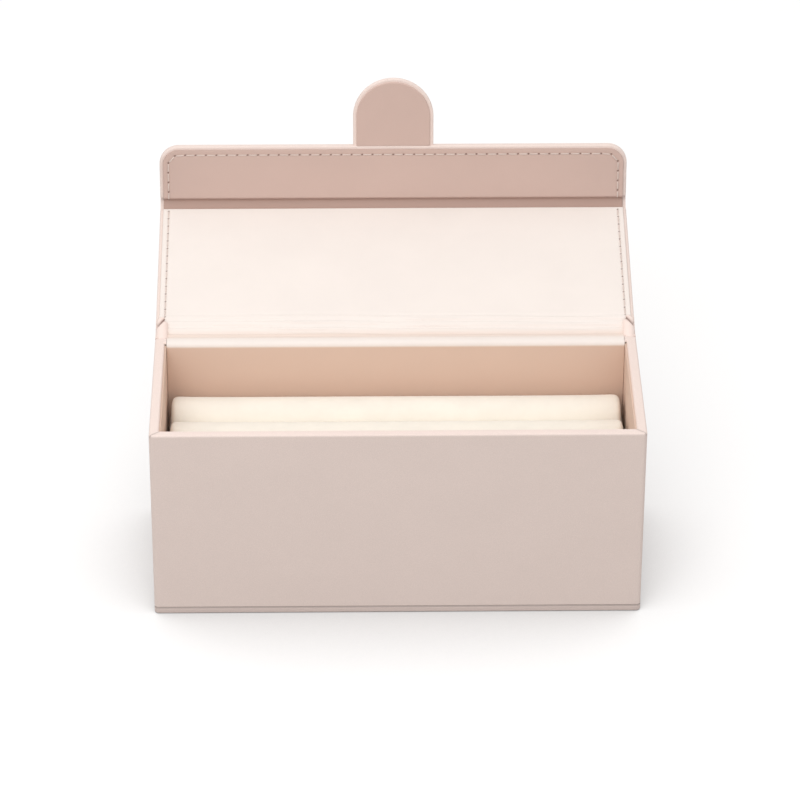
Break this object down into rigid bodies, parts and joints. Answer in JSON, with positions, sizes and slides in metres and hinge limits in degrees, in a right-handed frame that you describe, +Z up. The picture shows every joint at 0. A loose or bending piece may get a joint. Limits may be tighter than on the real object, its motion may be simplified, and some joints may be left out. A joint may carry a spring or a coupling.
{
  "type": "leather ring box with a folding lid",
  "caption": "Open-topped leather box for rings: padded rolls stand in a lined tray, and a hinged lid with a folding front flap and a magnet tab closes over it.",
  "frame": {"origin": "centre of the underside of the base slab", "axes": "+Z up, +X along the long side to the right as seen from the front, +Y to the back"},
  "size_m": [0.14, 0.1149, 0.1134],
  "materials": {
    "leather": "fine-grained soft leather, dusty pink, satin",
    "lining": "smooth split-leather lining, pale cream pink, matt",
    "velvet": "short-pile cream velvet",
    "board": "grey board and fibreboard, unfinished",
    "foam": "open-cell foam",
    "steel": "plain rolled sheet steel",
    "magnet": "nickel-plated disc magnet"
  },
  "bodies": {
    "box": {"base_board": "board", "base_cover": "leather", "back_board": "board", "back_cover": "leather", "front_wall": "board", "back_wall": "board", "left_wall": "board", "right_wall": "board", "tray_floor": "board", "strike_plate": "steel", "tray_wrap": "leather", "front_lining": "lining", "back_lining": "lining", "left_lining": "lining", "right_lining": "lining", "insert_platform": "board", "front_insert_leg": "board", "rear_insert_leg": "board", "rear_gutter_cover": "leather", "rear_gutter_lining": "lining", "front_roll_core": "foam", "middle_roll_core": "foam", "rear_roll_core": "foam", "front_roll_velvet": "velvet", "middle_roll_velvet": "velvet", "rear_roll_velvet": "velvet"},
    "lid": {"lid_board": "board", "lid_cover": "leather", "lid_lining": "lining", "front_gutter_cover": "leather", "front_gutter_lining": "lining"},
    "flap": {"flap_board": "board", "flap_cover": "leather", "flap_lining": "lining", "tab_board": "board", "tab_cover": "leather", "tab_lining": "lining", "tab_magnet": "magnet"}
  },
  "joints": [
    {"name": "lid_hinge", "type": "hinge", "parent": "box", "child": "lid", "pos_m": [0, 0.0265, 0.0611], "axis": [-1, 0, 0], "range_deg": [-165.5, 14.5], "deforming": ["rear_gutter_cover", "rear_gutter_lining"]},
    {"name": "flap_hinge", "type": "hinge", "parent": "lid", "child": "flap", "pos_m": [0, 0.07926, 0.07475], "axis": [-1, 0, 0], "range_deg": [-22.5, 67.5], "deforming": ["front_gutter_cover", "front_gutter_lining"]}
  ]
}
